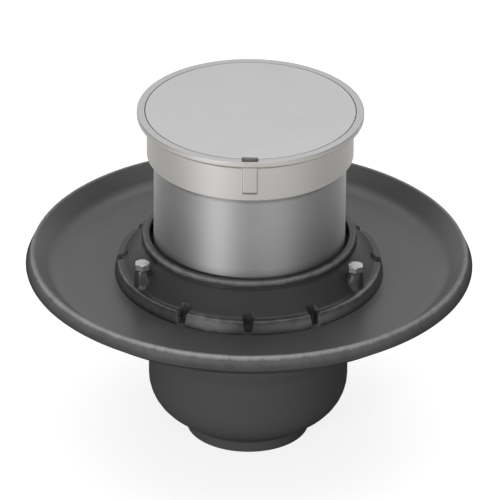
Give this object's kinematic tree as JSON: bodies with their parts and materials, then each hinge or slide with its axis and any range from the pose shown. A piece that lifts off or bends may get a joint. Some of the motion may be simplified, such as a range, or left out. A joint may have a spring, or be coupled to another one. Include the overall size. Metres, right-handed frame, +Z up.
{
  "type": "floor drain",
  "caption": "Floor drain with a dished cast flange and sump bowl, bolted membrane clamp collar, telescoping steel riser and flush solid round cover.",
  "frame": {"origin": "on the drain's axis, at the lower end of the outlet, on which the part stands", "axes": "+Z up along the drain's axis, -Y towards the front with the cover's lifting notch"},
  "size_m": [0.2548, 0.2548, 0.2026],
  "materials": {
    "coated_iron": "dark grey dipped coating over a fine sand-cast grain",
    "collar_iron": "dark grey dipped coating over a fine sand-cast grain",
    "zinc_steel": "bright zinc plating",
    "black_rubber": "matt black",
    "riser_steel": "smooth satin grey",
    "nickel_bronze": "satin turned, warm grey",
    "cover_bronze": "fine matt blasted grey"
  },
  "bodies": {
    "body": {"drain_body": "coated_iron", "clamp_collar": "collar_iron", "clamp_bolts": "zinc_steel", "riser_seal": "black_rubber"},
    "riser": {"riser_tube": "riser_steel", "head_ring": "nickel_bronze", "cover_plate": "cover_bronze"}
  },
  "joints": [
    {"name": "riser_slide", "type": "slide", "parent": "body", "child": "riser", "axis": [0, 0, 1], "range_m": [-0.025, 0.012]}
  ]
}
